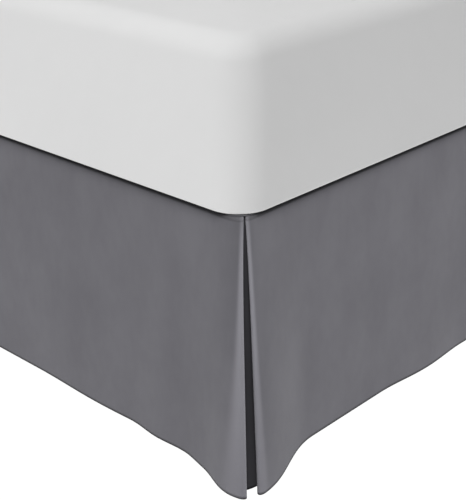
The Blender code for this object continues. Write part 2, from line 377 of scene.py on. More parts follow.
class NodeGraph:
    """Short calls for building a node tree."""

    def __init__(self, tree: bpy.types.NodeTree) -> None:
        """Keeps the tree that the calls add to."""
        self.tree = tree

    def add(self, kind: str, **settings: object) -> bpy.types.Node:
        """Adds a node of this kind with these properties."""
        node = self.tree.nodes.new(kind)
        for key, value in settings.items():
            setattr(node, key, value)
        return node

    def feed(self, socket: Socket, source: object) -> None:
        """Links a socket to a source socket, or sets its value where the source is a value."""
        if isinstance(source, Socket):
            self.tree.links.new(source, socket)
        else:
            socket.default_value = source

    def math(self, operation: str, first: object, second: object = 0.0) -> Socket:
        """The result of a Math node on two numbers or sockets."""
        node = self.add("ShaderNodeMath", operation=operation)
        self.feed(node.inputs[0], first)
        self.feed(node.inputs[1], second)
        return node.outputs[0]

    def scaled(self, vector: Socket, scale: object) -> Socket:
        """A vector multiplied by three numbers or by a vector socket."""
        node = self.add("ShaderNodeVectorMath", operation="MULTIPLY")
        self.feed(node.inputs[0], vector)
        self.feed(node.inputs[1], scale)
        return node.outputs[0]

    def noise(self, vector: Socket, scale: object, detail: float = 2.0) -> Socket:
        """The value of a Noise Texture, from 0 to 1 and mostly near 0.5."""
        node = self.add("ShaderNodeTexNoise")
        self.feed(node.inputs["Vector"], vector)
        self.feed(node.inputs["Scale"], scale)
        self.feed(node.inputs["Detail"], detail)
        return node.outputs["Fac"]

    def mix(self, share: object, first: object, second: object) -> Socket:
        """A colour between two, at this share of the way."""
        node = self.add("ShaderNodeMix", data_type="RGBA")
        self.feed(node.inputs["Factor"], share)
        self.feed(node.inputs["A"], first)
        self.feed(node.inputs["B"], second)
        return node.outputs["Result"]

    def spread(self, value: Socket, low: float, high: float) -> Socket:
        """A value stretched so that low becomes 0 and high becomes 1, and held between them."""
        node = self.add("ShaderNodeMapRange")
        self.feed(node.inputs["Value"], value)
        self.feed(node.inputs["From Min"], low)
        self.feed(node.inputs["From Max"], high)
        return node.outputs["Result"]


def new_group(
    name: str, inputs: dict[str, tuple[str, object]], outputs: dict[str, str]
) -> tuple[bpy.types.NodeTree, NodeGraph, bpy.types.Node, bpy.types.Node]:
    """An empty shader node group with named sockets.

    Args:
        name: The group's name.
        inputs: Socket type and default value (None for no default) of each input.
        outputs: Socket type of each output.

    Returns:
        The group, its graph, its input node and its output node.
    """
    tree = bpy.data.node_groups.new(name, "ShaderNodeTree")
    for key, (kind, value) in inputs.items():
        socket = tree.interface.new_socket(key, in_out="INPUT", socket_type=kind)
        if value is not None:
            socket.default_value = value
    for key, kind in outputs.items():
        tree.interface.new_socket(key, in_out="OUTPUT", socket_type=kind)
    graph = NodeGraph(tree)
    return tree, graph, graph.add("NodeGroupInput"), graph.add("NodeGroupOutput")


def weave_group() -> bpy.types.NodeTree:
    """Plain weave: the product of a sine across the warp and a sine across the weft.

    The product is high where a warp thread lies on top and low where a weft thread does. A fine noise,
    long in the warp's direction, makes the threads uneven.
    """
    tree, graph, given, put = new_group(
        "plain_weave",
        {
            "Vector": ("NodeSocketVector", None),
            "Threads": ("NodeSocketFloat", 1400.0),
            "Slub": ("NodeSocketFloat", 0.3),
        },
        {"Height": "NodeSocketFloat"},
    )
    parts = graph.add("ShaderNodeSeparateXYZ")
    graph.feed(parts.inputs[0], given.outputs["Vector"])
    turns = graph.math("MULTIPLY", given.outputs["Threads"], math.pi)
    warp = graph.math("SINE", graph.math("MULTIPLY", parts.outputs[0], turns))
    weft = graph.math("SINE", graph.math("MULTIPLY", parts.outputs[1], turns))
    over = graph.math("MULTIPLY", warp, weft)
    slub = graph.noise(graph.scaled(given.outputs["Vector"], (900.0, 60.0, 1.0)), 1.0)
    uneven = graph.math("MULTIPLY", graph.math("SUBTRACT", slub, 0.5), given.outputs["Slub"])
    graph.feed(put.inputs["Height"], graph.math("ADD", graph.math("MULTIPLY", over, 0.5), uneven))
    return tree


def mottle_group() -> bpy.types.NodeTree:
    """Soft uneven tone of a brushed or washed cloth: broad upright patches with finer ones on them."""
    tree, graph, given, put = new_group(
        "cloth_mottle",
        {
            "Vector": ("NodeSocketVector", None),
            "Across": ("NodeSocketFloat", 7.0),
            "Down": ("NodeSocketFloat", 3.0),
        },
        {"Value": "NodeSocketFloat"},
    )
    size = graph.add("ShaderNodeCombineXYZ")
    graph.feed(size.inputs[0], given.outputs["Across"])
    graph.feed(size.inputs[1], given.outputs["Down"])
    graph.feed(size.inputs[2], 1.0)
    placed = graph.scaled(given.outputs["Vector"], size.outputs[0])
    broad = graph.noise(placed, 1.0, 1.0)
    fine = graph.noise(placed, 6.0, 3.0)
    both = graph.math("ADD", graph.math("MULTIPLY", broad, 0.7), graph.math("MULTIPLY", fine, 0.3))
    graph.feed(put.inputs["Value"], graph.spread(both, 0.35, 0.65))
    return tree


def new_material(name: str) -> tuple[bpy.types.Material, NodeGraph, bpy.types.Node]:
    """An empty Principled material, its graph and its shader."""
    material = bpy.data.materials.new(name)
    material.use_nodes = True
    graph = NodeGraph(material.node_tree)
    return material, graph, material.node_tree.nodes["Principled BSDF"]


@dataclass(frozen=True)
class WovenCloth:
    """A woven cloth: two tones mottled together, a plain weave, and a sheen of loose fibre.

    tone_low and tone_high are linear colours, threads the threads in a metre and relief the weave's height
    in metres. patch_across and patch_down are the noise cells of the mottle in a metre. stripe is the
    pitch of the stripes, stripe_rise the values of a sine between which a stripe's edge rises, and
    stripe_tone its tone as a share of tone_low. lean_shade is painted shade: the share of the tone that
    cloth loses which leans outwards by lean_shade_full or more, to offset the extra light it catches from
    above. highlight_gain is a painted highlight: what the turned edges gain over tone_high. hem_shade is
    painted shade: what the hem's fold loses in a line that fades out hem_shade_width away.
    """

    name: str
    tone_low: tuple[float, float, float]
    tone_high: tuple[float, float, float]
    threads: float
    relief: float
    roughness: float
    sheen: float
    sheen_roughness: float
    patch_across: float = 7.0
    patch_down: float = 3.0
    specular: float = 0.25
    weave_roughness: float = 0.04
    stripe: float = 0.0
    stripe_rise: tuple[float, float] = (0.80, 0.92)
    stripe_tone: float = 0.62
    lean_shade: float = 0.0
    lean_shade_full: float = 0.41
    highlight_gain: float = 0.0
    hem_shade: float = 0.0
    hem_shade_width: float = 0.0042

    def build(self, weave: bpy.types.NodeTree, mottle: bpy.types.NodeTree) -> bpy.types.Material:
        """Builds the material.

        Args:
            weave: The plain weave group.
            mottle: The mottle group.

        Returns:
            The material, which reads the piece's own cloth map.
        """
        material, graph, shader = new_material(self.name)
        cloth_map = graph.add("ShaderNodeUVMap", uv_map=CLOTH_UV).outputs[0]
        woven = graph.add("ShaderNodeGroup", node_tree=weave)
        graph.feed(woven.inputs["Vector"], cloth_map)
        graph.feed(woven.inputs["Threads"], self.threads)
        patches = graph.add("ShaderNodeGroup", node_tree=mottle)
        graph.feed(patches.inputs["Vector"], cloth_map)
        graph.feed(patches.inputs["Across"], self.patch_across)
        graph.feed(patches.inputs["Down"], self.patch_down)
        tone = graph.mix(patches.outputs["Value"], (*self.tone_low, 1.0), (*self.tone_high, 1.0))
        if self.stripe:
            tone = self.striped(graph, cloth_map, tone)
        # Painted light on the tone: a highlight on turned edges, shade where the cloth leans out, shade on
        # the hem's fold.
        if self.highlight_gain:
            tone = self.painted_highlight(graph, tone)
        if self.lean_shade:
            tone = self.lean_shaded(graph, tone)
        if self.hem_shade:
            tone = self.hem_shaded(graph, tone)
        graph.feed(shader.inputs["Base Color"], tone)
        shade = graph.math("MULTIPLY", woven.outputs["Height"], self.weave_roughness)
        graph.feed(shader.inputs["Roughness"], graph.math("ADD", shade, self.roughness))
        shader.inputs["Sheen Weight"].default_value = self.sheen
        shader.inputs["Sheen Roughness"].default_value = self.sheen_roughness
        shader.inputs["Specular IOR Level"].default_value = self.specular
        relief = graph.add("ShaderNodeBump")
        relief.inputs["Strength"].default_value = 1.0
        relief.inputs["Distance"].default_value = self.relief
        graph.feed(relief.inputs["Height"], woven.outputs["Height"])
        graph.feed(shader.inputs["Normal"], relief.outputs["Normal"])
        return material

    def striped(self, graph: NodeGraph, cloth_map: Socket, tone: Socket) -> Socket:
        """The tone with narrow upright stripes, where a sine across the cloth is near its crest."""
        parts = graph.add("ShaderNodeSeparateXYZ")
        graph.feed(parts.inputs[0], cloth_map)
        turns = graph.math("MULTIPLY", parts.outputs[0], 2 * math.pi / self.stripe)
        line = graph.spread(graph.math("SINE", turns), *self.stripe_rise)
        darker = tuple(self.stripe_tone * part for part in self.tone_low)
        return graph.mix(line, tone, (*darker, 1.0))

    def lean_shaded(self, graph: NodeGraph, tone: Socket) -> Socket:
        """Painted shade: the tone made darker where the cloth leans outwards and so catches more light from
        above.

        The loss grows with the upward part of the object's own normal and is lean_shade from lean_shade_full
        on.
        """
        parts = graph.add("ShaderNodeSeparateXYZ")
        graph.feed(parts.inputs[0], graph.add("ShaderNodeTexCoord").outputs["Normal"])
        lean = graph.spread(parts.outputs[2], 0.0, self.lean_shade_full)
        return graph.mix(graph.math("MULTIPLY", lean, self.lean_shade), tone, BLACK)

    def painted_highlight(self, graph: NodeGraph, tone: Socket) -> Socket:
        """The tone with a painted highlight on the turned edges beside the slits, which the piece's own
        attribute places.
        """
        share = graph.add("ShaderNodeAttribute", attribute_name=HIGHLIGHT_MASK).outputs["Fac"]
        highlighted = tuple((1 + self.highlight_gain) * part for part in self.tone_high)
        return graph.mix(share, tone, (*highlighted, 1.0))

    def hem_shaded(self, graph: NodeGraph, tone: Socket) -> Socket:
        """The tone with a thin line of painted shade on the hem's fold, faded out hem_shade_width away from
        it.
        """
        near = graph.add("ShaderNodeAttribute", attribute_name=NEAR_HEM).outputs["Fac"]
        line = graph.spread(near, 1.0 - self.hem_shade_width / HEM_REACH, 1.0)
        return graph.mix(graph.math("MULTIPLY", line, self.hem_shade), tone, BLACK)


@dataclass(frozen=True)
class StainedWood:
    """Dark stained wood with an upright grain. grain is its noise cells in a metre, on each axis."""

    name: str = "leg_stained_wood"
    tone_low: tuple[float, float, float] = (0.010, 0.008, 0.007)
    tone_high: tuple[float, float, float] = (0.032, 0.024, 0.019)
    grain: tuple[float, float, float] = (260.0, 260.0, 9.0)
    relief: float = 0.0002
    roughness: float = 0.42
    grain_roughness: float = 0.2

    def build(self) -> bpy.types.Material:
        """Builds the material on object coordinates, the grain long in the leg's direction."""
        material, graph, shader = new_material(self.name)
        place = graph.add("ShaderNodeTexCoord").outputs["Object"]
        grain = graph.noise(graph.scaled(place, self.grain), 1.0, 4.0)
        tone = graph.mix(graph.spread(grain, 0.35, 0.7), (*self.tone_low, 1.0), (*self.tone_high, 1.0))
        graph.feed(shader.inputs["Base Color"], tone)
        uneven = graph.math("MULTIPLY", grain, self.grain_roughness)
        graph.feed(shader.inputs["Roughness"], graph.math("ADD", uneven, self.roughness))
        relief = graph.add("ShaderNodeBump")
        relief.inputs["Distance"].default_value = self.relief
        graph.feed(relief.inputs["Height"], grain)
        graph.feed(shader.inputs["Normal"], relief.outputs["Normal"])
        return material


@dataclass(frozen=True)
class Finishes:
    """The object's finished materials."""

    skirt: bpy.types.Material
    sheet: bpy.types.Material
    ticking: bpy.types.Material
    piping: bpy.types.Material
    wood: bpy.types.Material

    @classmethod
    def build(cls) -> "Finishes":
        """Builds the two shared groups and every material from them."""
        weave, mottle = weave_group(), mottle_group()
        skirt = WovenCloth(
            "skirt_brushed_microfibre",
            tone_low=(0.138, 0.135, 0.151),
            tone_high=(0.161, 0.158, 0.175),
            threads=1500.0,
            relief=0.00006,
            roughness=0.86,
            sheen=0.10,
            sheen_roughness=0.45,
            # Painted shade where the cloth leans out, a painted highlight on the turned edges and painted
            # shade on the hem's fold.
            lean_shade=0.65,
            highlight_gain=0.93,
            hem_shade=0.85,
            patch_across=12.0,
            patch_down=6.0,
        )
        sheet = WovenCloth(
            "sheet_fine_cotton",
            tone_low=(0.785, 0.785, 0.785),
            tone_high=(0.805, 0.805, 0.805),
            threads=2200.0,
            relief=0.00003,
            roughness=0.85,
            sheen=0.05,
            sheen_roughness=0.5,
            patch_across=4.0,
            patch_down=4.0,
        )
        ticking = WovenCloth(
            "box_ticking",
            tone_low=(0.52, 0.51, 0.48),
            tone_high=(0.58, 0.57, 0.54),
            threads=1100.0,
            relief=0.00008,
            roughness=0.88,
            sheen=0.08,
            sheen_roughness=0.5,
            stripe=0.024,
        )
        piping = WovenCloth(
            "box_piping",
            tone_low=(0.40, 0.39, 0.37),
            tone_high=(0.46, 0.45, 0.43),
            threads=900.0,
            relief=0.0001,
            roughness=0.85,
            sheen=0.1,
            sheen_roughness=0.5,
        )
        return cls(
            skirt=skirt.build(weave, mottle),
            sheet=sheet.build(weave, mottle),
            ticking=ticking.build(weave, mottle),
            piping=piping.build(weave, mottle),
            wood=StainedWood().build(),
        )


@dataclass(frozen=True)
class Bell:
    """What the cloth does beside the slit of a foot corner.

    edge_hem is where the drop's turned edge hangs at the hem. shift is how far the slit lies round the
    corner from its middle, away from this drop, and zone the thread at which the bell ends. pitch is the
    distance between the return and the drop at the seam, radius_hem half of it at the hem's turned edge,
    and depth the return's width. The painted highlight on the turned edge reaches highlight_top to each
    side at the seam, and highlight_hem more at the hem. It is weaker by highlight_loss at the hem and by
    highlight_seam_loss at the seam, and that second loss falls off over highlight_start of the drop.
    """

    edge_hem: float
    shift: float
    highlight_hem: float
    zone: float = 0.150
    slit_half_top: float = 0.00085
    pitch: float = 0.0022
    radius_hem: float = 0.0050
    radius_growth: float = 0.8
    roll: float = 2.0
    return_hem_share: float = 0.47
    return_closing: float = 0.65
    depth: float = 0.100
    highlight_top: float = 0.0045
    highlight_growth: float = 2.0
    highlight_loss: float = 0.65
    highlight_seam_loss: float = 0.5
    highlight_start: float = 0.08
    return_columns: int = 34
    turn_columns: int = 17
    front_columns: int = 64

    @property
    def edge_column(self) -> int:
        """The column of points that runs down the turned edge's outermost line."""
        return self.return_columns + self.turn_columns // 2

    def radius(self, share: np.ndarray) -> np.ndarray:
        """Half the distance between the two layers at the turned edge: it grows as a power of share."""
        top = self.pitch / 2
        return top + (self.radius_hem - top) * share**self.radius_growth


@dataclass
class HangingCloth:
    """What all the skirt's hanging cloths share: how they fall, their thickness and their turned hem."""

    bed: Bed
    drop: float = 0.381
    hang_curve: float = 0.90
    lean: float = 0.003
    thickness: float = 0.0007
    hem_turn: float = 0.015
    hem_radius: float = 0.0007
    rows: int = 56

    @property
    def shares(self) -> np.ndarray:
        """Shares of the way down, as a column."""
        return np.linspace(0, 1, self.rows)[:, None]

    def reach(self, along: np.ndarray, folds: tuple[Fold, ...]) -> np.ndarray:
        """How far outward a hem hangs at these distances along it: the lean and the folds added up."""
        return self.lean + sum(fold.reach * bump(along - fold.along, fold.half_width) for fold in folds)

    def hang(self, plan: np.ndarray) -> np.ndarray:
        """Gives a plan its heights: the drop times the share of the way down, so that the hem hangs level.

        Args:
            plan: (rows, columns, 2) places seen from above.

        Returns:
            (rows, columns, 3) points.
        """
        height = self.bed.seam_z - self.drop * self.shares
        return np.concatenate([plan, np.broadcast_to(height, plan.shape[:2])[..., None]], axis=-1)

    def with_hem(self, points: np.ndarray) -> np.ndarray:
        """Adds the turned hem: a half circle under the cloth's edge, then a strip back up its inner face.

        Args:
            points: (rows, columns, 3) points of the hanging cloth, whose outer face is the one that sees
                the columns run anticlockwise from above.

        Returns:
            The points with the hem's rows added.
        """
        across = unit(np.gradient(points[-1], axis=0))
        down = unit(points[-1] - points[-4])
        inner = unit(np.cross(across, down))
        angle = np.radians(np.arange(30, 181, 30))[:, None, None]
        turn = points[-1] + self.hem_radius * (inner * (1 - np.cos(angle)) + down * np.sin(angle))
        rise = np.linspace(0, self.hem_turn, 5)[1:, None, None]
        return np.concatenate([points, turn, turn[-1] - down * rise])

    def make(
        self, name: str, points: np.ndarray, material: bpy.types.Material, painted_highlight: np.ndarray | None = None
    ) -> Piece:
        """Makes the cloth with its hem, its thickness and its map.

        Args:
            name: Name of the piece.
            points: (rows, columns, 3) points, the columns anticlockwise seen from above.
            material: Its finish.
            painted_highlight: (rows, columns) strength of the painted highlight, where there is any.

        Returns:
            The piece.
        """
        whole = self.with_hem(points)
        rows, columns = whole.shape[:2]
        along = np.broadcast_to(path_lengths(points, 1).mean(axis=0), (rows, columns))
        down = path_lengths(whole, 0)
        quads = grid_quads(rows, columns)[:, ::-1]
        uv = grid_uv(along, down)[:, ::-1]
        piece = mesh_object(name, whole.reshape(-1, 3), quads, uv)
        # The values that place a line of painted shade on the hem's fold and the painted highlight on the
        # turned edges.
        near_hem = np.maximum(0, 1 - abs(down - down[len(points) - 1]) / HEM_REACH)
        self.put_values(piece, NEAR_HEM, near_hem)
        if painted_highlight is not None:
            below = np.broadcast_to(painted_highlight[-1], (rows - len(painted_highlight), columns))
            self.put_values(piece, HIGHLIGHT_MASK, np.concatenate([painted_highlight, below]))
        thicken = piece.modifiers.new("Cloth thickness", "SOLIDIFY")
        thicken.thickness = self.thickness
        thicken.offset = 0.0
        thicken.use_even_offset = True
        piece.data.materials.append(material)
        return piece

    def put_values(self, piece: Piece, name: str, values: np.ndarray) -> None:
        """Writes a named number for each point of the piece."""
        piece.data.attributes.new(name, "FLOAT", "POINT").data.foreach_set("value", values.ravel())


@dataclass
class Drop(HangingCloth):
    """A drop that hangs from the deck's edge, with the bell and the turned edge at its pleated end."""

    bell: Bell = Bell(edge_hem=-0.0127, shift=0.0056, highlight_hem=0.0125)
    folds: tuple[Fold, ...] = ()
    corner_fade: float = 6.0
    thread_gap: float = 0.012

    @property
    def inset(self) -> float:
        """How far inside the mattress's face the cloth's middle hangs at its seam."""
        return self.bed.overhang + self.bed.cloth / 2

    @property
    def corner_start(self) -> float:
        """The thread where the seam's round corner starts."""
        return self.inset + self.bed.seam_radius

    @property
    def edge_thread(self) -> float:
        """The thread at which the turned edge leaves the seam, counted as if the cloth were not turned."""
        middle = self.corner_start - self.bed.seam_radius * math.pi / 4 + self.bell.shift
        return middle + self.bell.slit_half_top + self.bed.cloth / 2

    def seam(self, thread: np.ndarray) -> np.ndarray:
        """(along, outward) of the seam: straight, then a round corner of the seam's radius."""
        radius, start = self.bed.seam_radius, self.corner_start
        angle = np.clip(start - thread, 0, None) / radius
        along = np.maximum(thread, start) - radius * np.sin(angle)
        return np.stack([along, radius * np.cos(angle) - start], axis=-1)

    def hem_along(self, thread: np.ndarray) -> np.ndarray:
        """Where threads reach the hem: a lean to the slit that grows as the square of the nearness to it."""
        span = self.bell.zone - self.edge_thread
        nearness = np.clip((self.bell.zone - thread) / span, 0, None)
        return thread - (self.edge_thread - self.bell.edge_hem) * nearness**2

    def plan(self, thread: np.ndarray, share: np.ndarray) -> np.ndarray:
        """(along, outward) of points: from a straight seam to the hem, with a soft corner at the top.

        The way to the hem is a power of the share. The seam's round corner is the seam less that straight
        seam, and it fades out as a power of what is left of the share.
        """
        straight = np.stack([thread, np.full(thread.shape, -self.inset)], axis=-1)
        at_hem = self.hem_along(thread)
        hem = np.stack([at_hem, self.reach(at_hem, self.folds)], axis=-1)
        hung = straight + (hem - straight) * (share**self.hang_curve)[..., None]
        return hung + (self.seam(thread) - straight) * ((1 - share) ** self.corner_fade)[..., None]

    def directions(self, thread: np.ndarray, share: np.ndarray) -> tuple[np.ndarray, np.ndarray]:
        """Unit directions in plan: ahead towards the slit, and inward from the cloth, a quarter turn on."""
        step = 0.0005
        ahead = unit(self.plan(thread - step, share) - self.plan(thread + step, share))
        return ahead, np.stack([-ahead[..., 1], ahead[..., 0]], axis=-1)

    def bell_plan(self) -> np.ndarray:
        """The plan from the return's inner end, round the turned edge, to the end of the bell.

        The return follows the drop's own surface behind it, two fold radii away at the turned edge and
        closer further in. The turned edge is half an ellipse, roll times as deep ahead as its radius. The
        last flat thread lies so far short of the edge, counted where the threads have spread.

        Returns:
            (rows, columns, 2) places.
        """
        bell, share = self.bell, self.shares
        radius = bell.radius(share)
        spread = 1 + 2 * share * (self.edge_thread - bell.edge_hem) / (bell.zone - self.edge_thread)
        last = self.edge_thread + bell.roll * radius / spread

        depth = np.linspace(bell.depth, 0, bell.return_columns)
        thread = last + depth * (1 - (1 - bell.return_hem_share) * share)
        closing = 1 - bell.return_closing * depth / bell.depth
        behind = bell.pitch + 2 * (radius - bell.pitch / 2) * closing
        back = self.plan(thread, share) + self.directions(thread, share)[1] * behind[..., None]

        ahead, inward = self.directions(last, share)
        angle = np.radians(np.linspace(180, 0, bell.turn_columns + 2)[1:-1])[None, :, None]
        curl = inward * (1 - np.cos(angle)) + ahead * bell.roll * np.sin(angle)
        turn = self.plan(last, share) + radius[..., None] * curl

        front = last + (bell.zone - last) * np.linspace(0, 1, bell.front_columns) ** 1.3
        return np.concatenate([back, turn, self.plan(front, share)], axis=1)

    def painted_highlight(self, points: np.ndarray, column: int) -> np.ndarray:
        """Strength of the painted highlight: a flat-topped curve of the distance from the turned edge.

        Its width grows from the seam to the hem as a power of the share, and its height falls as it widens.
        Just below the seam, where the mattress shades the drop, the painted highlight is weaker.

        Args:
            points: (rows, columns, 3) points of the hanging cloth.
            column: The column of the turned edge.

        Returns:
            (rows, columns) strengths, from 0 to 1.
        """
        bell = self.bell
        path = path_lengths(points, 1)
        width = bell.highlight_top + bell.highlight_hem * self.shares**bell.highlight_growth
        setting_in = 1 - bell.highlight_seam_loss * np.exp(-self.shares / bell.highlight_start)
        strength = (1 - bell.highlight_loss * self.shares) * setting_in
        return np.exp(-(((path - path[:, [column]]) / width) ** 4)) * strength

    def straight_plan(self, end: float) -> np.ndarray:
        """The plan past the bell, up to the thread at end."""
        count = round((end - self.bell.zone) / self.thread_gap)
        thread = np.linspace(self.bell.zone, end, count + 1)[1:]
        return self.plan(thread + 0 * self.shares, self.shares)


@dataclass
class SideDrop(Drop):
    """A long side's drop, from the pleat at the foot corner to its free end at the head."""

    side: Side = Side.RIGHT
    head_end_gap: float = 0.060

    def build(self, name: str, finishes: Finishes) -> Piece:
        """Builds the drop."""
        far = self.straight_plan(self.bed.length - self.head_end_gap)
        hung = self.hang(np.concatenate([self.bell_plan(), far], axis=1))
        painted_highlight = self.painted_highlight(hung, self.bell.edge_column)
        along, outward, height = np.moveaxis(hung, -1, 0)
        sign = self.side.value
        points = np.stack([sign * (self.bed.side_x + outward), self.bed.foot_y + along, height], axis=-1)
        piece = self.make(name, points[:, ::sign], finishes.skirt, painted_highlight[:, ::sign])
        stand_for(piece, Slot.SKIRT, name)
        return piece


@dataclass
class FootDrop(Drop):
    """The foot's drop, with a pleat at both of its ends. Its threads are counted from the right corner."""

    bell: Bell = Bell(edge_hem=-0.0361, shift=-0.0056, highlight_hem=0.035)

    def build(self, name: str, finishes: Finishes) -> Piece:
        """Builds the drop."""
        width = self.bed.width
        other_end = replace(self, folds=tuple(replace(fold, along=width - fold.along) for fold in self.folds))
        far = other_end.bell_plan()[:, ::-1]
        far[..., 0] = width - far[..., 0]
        middle = self.straight_plan(width - self.bell.zone)[:, :-1]
        hung = self.hang(np.concatenate([self.bell_plan(), middle, far], axis=1))
        edge = self.bell.edge_column
        painted_highlight = self.painted_highlight(hung, edge) + self.painted_highlight(hung, hung.shape[1] - 1 - edge)
        along, outward, height = np.moveaxis(hung, -1, 0)
        points = np.stack([self.bed.side_x - along, self.bed.foot_y - outward, height], axis=-1)
        piece = self.make(name, points[:, ::-1], finishes.skirt, painted_highlight[:, ::-1])
        stand_for(piece, Slot.SKIRT, name)
        return piece


@dataclass
class PleatPanel(HangingCloth):
    """The pleat panel behind a foot corner's slit, narrower at its hem than at its seam."""

    side: Side = Side.RIGHT
    folds: tuple[Fold, ...] = (
        Fold(0.000, 0.115, 0.009),
        Fold(0.002, 0.038, 0.043),
        Fold(0.008, 0.012, -0.007),
    )
    half_width: float = 0.100
    hem_share: float = 0.45
    pitch: float = 0.0022
    shift: float = 0.0056
    lag: float = 1.3
    columns: int = 121

    def line(self, travel: np.ndarray) -> tuple[np.ndarray, np.ndarray]:
        """The panel's seam seen from above, from the sharp corner, and its outward directions.

        The line is a quarter circle round the corner's centre with a straight run on at both ends.

        Args:
            travel: Distances along it from the corner's middle, towards the side where positive.

        Returns:
            The places and the unit outward directions.
        """
        seam_radius = self.bed.seam_radius
        start = self.bed.overhang + self.bed.cloth / 2 + seam_radius
        turn = np.clip(travel / seam_radius, -math.pi / 4, math.pi / 4)
        bearing = turn - math.pi / 4
        outward = np.stack([np.cos(bearing), np.sin(bearing)], axis=-1)
        ahead = np.stack([-outward[..., 1], outward[..., 0]], axis=-1)
        straight = (travel - turn * seam_radius)[..., None]
        centre = np.array([-start, start])
        return centre + outward * (seam_radius - 2 * self.pitch) + ahead * straight, outward

    def build(self, name: str, finishes: Finishes) -> Piece:
        """Builds the panel."""
        travel = np.linspace(-self.half_width, self.half_width, self.columns)
        seam = self.line(travel + self.shift)[0]
        base, outward = self.line(travel * self.hem_share)
        hem = base + outward * self.reach(travel * self.hem_share, self.folds)[:, None]
        plan = seam + (hem - seam) * self.shares[..., None] ** self.lag
        x, y, height = np.moveaxis(self.hang(plan), -1, 0)
        sign = self.side.value
        points = np.stack([sign * (self.bed.side_x + x), self.bed.foot_y + y, height], axis=-1)
        piece = self.make(name, points[:, ::sign], finishes.skirt)
        stand_for(piece, Slot.SKIRT, name)
        return piece


@dataclass
class Skirt:
    """The whole skirt: the deck, three drops and two pleat panels."""

    bed: Bed
    right_folds: tuple[Fold, ...] = (
        Fold(-0.008, 0.154, 0.042),
        Fold(0.420, 0.110, 0.008),
        Fold(0.560, 0.170, 0.005),
        Fold(0.860, 0.200, 0.009),
        Fold(1.180, 0.180, 0.005),
        Fold(1.490, 0.220, 0.010),
        Fold(1.860, 0.190, 0.006),
    )
    left_folds: tuple[Fold, ...] = (
        Fold(-0.010, 0.160, 0.041),
        Fold(0.330, 0.130, 0.007),
        Fold(0.690, 0.200, 0.010),
        Fold(1.060, 0.180, 0.006),
        Fold(1.380, 0.210, 0.009),
        Fold(1.800, 0.230, 0.008),
    )
    foot_folds: tuple[Fold, ...] = (
        Fold(-0.009, 0.067, 0.011),
        Fold(-0.009, 0.163, 0.026),
        Fold(0.158, 0.070, 0.008),
        Fold(0.300, 0.150, 0.004),
        Fold(0.850, 0.210, 0.009),
        Fold(1.200, 0.160, 0.006),
        Fold(1.533, 0.080, 0.012),
        Fold(1.533, 0.175, 0.025),
    )
    deck_edge_rings: int = 6
    deck_ring_steps: tuple[int, int] = (16, 40)

    def build(self, finishes: Finishes) -> tuple[list[Piece], list[Piece]]:
        """Builds every cloth of the skirt.

        Args:
            finishes: The object's materials.

        Returns:
            The deck and the drops, and the pleat panels.
        """
        bed = self.bed
        outer = [
            self.build_deck(finishes),
            SideDrop(bed, folds=self.right_folds, side=Side.RIGHT).build("drop_right", finishes),
            SideDrop(bed, folds=self.left_folds, side=Side.LEFT).build("drop_left", finishes),
            FootDrop(bed, folds=self.foot_folds).build("drop_foot", finishes),
        ]
        pleats = [
            PleatPanel(bed, side=Side.RIGHT).build("pleat_right", finishes),
            PleatPanel(bed, side=Side.LEFT).build("pleat_left", finishes),
        ]
        return outer, pleats

    def build_deck(self, finishes: Finishes) -> Piece:
        """The deck panel: a flat sheet whose rim is a half circle of the cloth's thickness."""
        bed = self.bed
        radius = bed.cloth / 2
        middle_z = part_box("deck")[0].z + radius
        rim = arc((radius, middle_z), radius, 270, 90, self.deck_edge_rings)
        rings = []
        for inset, height in rim:
            insets = bed.overhang + inset, bed.box_inset + inset
            rings.append(bed.ring(*insets, bed.seam_radius + radius - inset, height, self.deck_ring_steps))
        piece = ringed_object("deck", np.stack(rings))
        piece.data.materials.append(finishes.skirt)
        stand_for(piece, Slot.SKIRT, "deck")
        return piece


@dataclass
class Mattress:
    """The mattress in its fitted sheet: a rounded lower edge, full sides, a soft shoulder and a low crown."""

    bed: Bed
    side: float = 0.228
    shoulder: float = 0.034
    bulge: float = 0.003
    crown_margin: float = 0.30
    foot_round: float = 0.005
    underside: tuple[float, float] = (0.06, 0.02)
    least_corner: float = 0.4
    foot_steps: int = 10
    side_steps: int = 30
    shoulder_steps: int = 18
    crown_steps: int = 24
    ring_steps: tuple[int, int] = (20, 60)

    def profile(self) -> np.ndarray:
        """(inset, height) up the mattress: flat underside, foot round, full side, shoulder and crown.

        The side is a half sine of the bulge, the rounds are quarter circles, and the crown a quarter sine.
        """
        low, high = self.bed.mattress_z, self.bed.mattress_z + self.side
        crown = self.bed.mattress_top_z - high
        foot = arc((self.foot_round, low + self.foot_round), self.foot_round, 270, 180, self.foot_steps)
        share = np.linspace(0, 1, self.side_steps)[1:-1]
        side_z = low + self.foot_round + (self.side - self.shoulder - self.foot_round) * share
        side = np.stack([-self.bulge * np.sin(math.pi * share), side_z], axis=1)
        round_top = arc((self.shoulder, high - self.shoulder), self.shoulder, 180, 90, self.shoulder_steps)
        share = np.linspace(0, 1, self.crown_steps)[1:]
        crown_z = high + crown * np.sin(math.pi / 2 * share)
        top = np.stack([self.shoulder + self.crown_margin * share, crown_z], axis=1)
        under = np.array([[inset, low] for inset in self.underside])
        return np.concatenate([under, foot, side, round_top, top])

    def build(self, finishes: Finishes) -> Piece:
        """Builds the mattress in its sheet, with corners that keep least_corner of their radius on top."""
        bed = self.bed
        rings = []
        for inset, height in self.profile():
            corner = max(bed.corner - inset, self.least_corner * bed.corner)
            rings.append(bed.ring(inset, inset, corner, height, self.ring_steps))
        piece = ringed_object("mattress_in_sheet", np.stack(rings), pulled_over=True)
        piece.data.materials.append(finishes.sheet)
        stand_for(piece, Slot.SHEET, "mattress")
        return piece


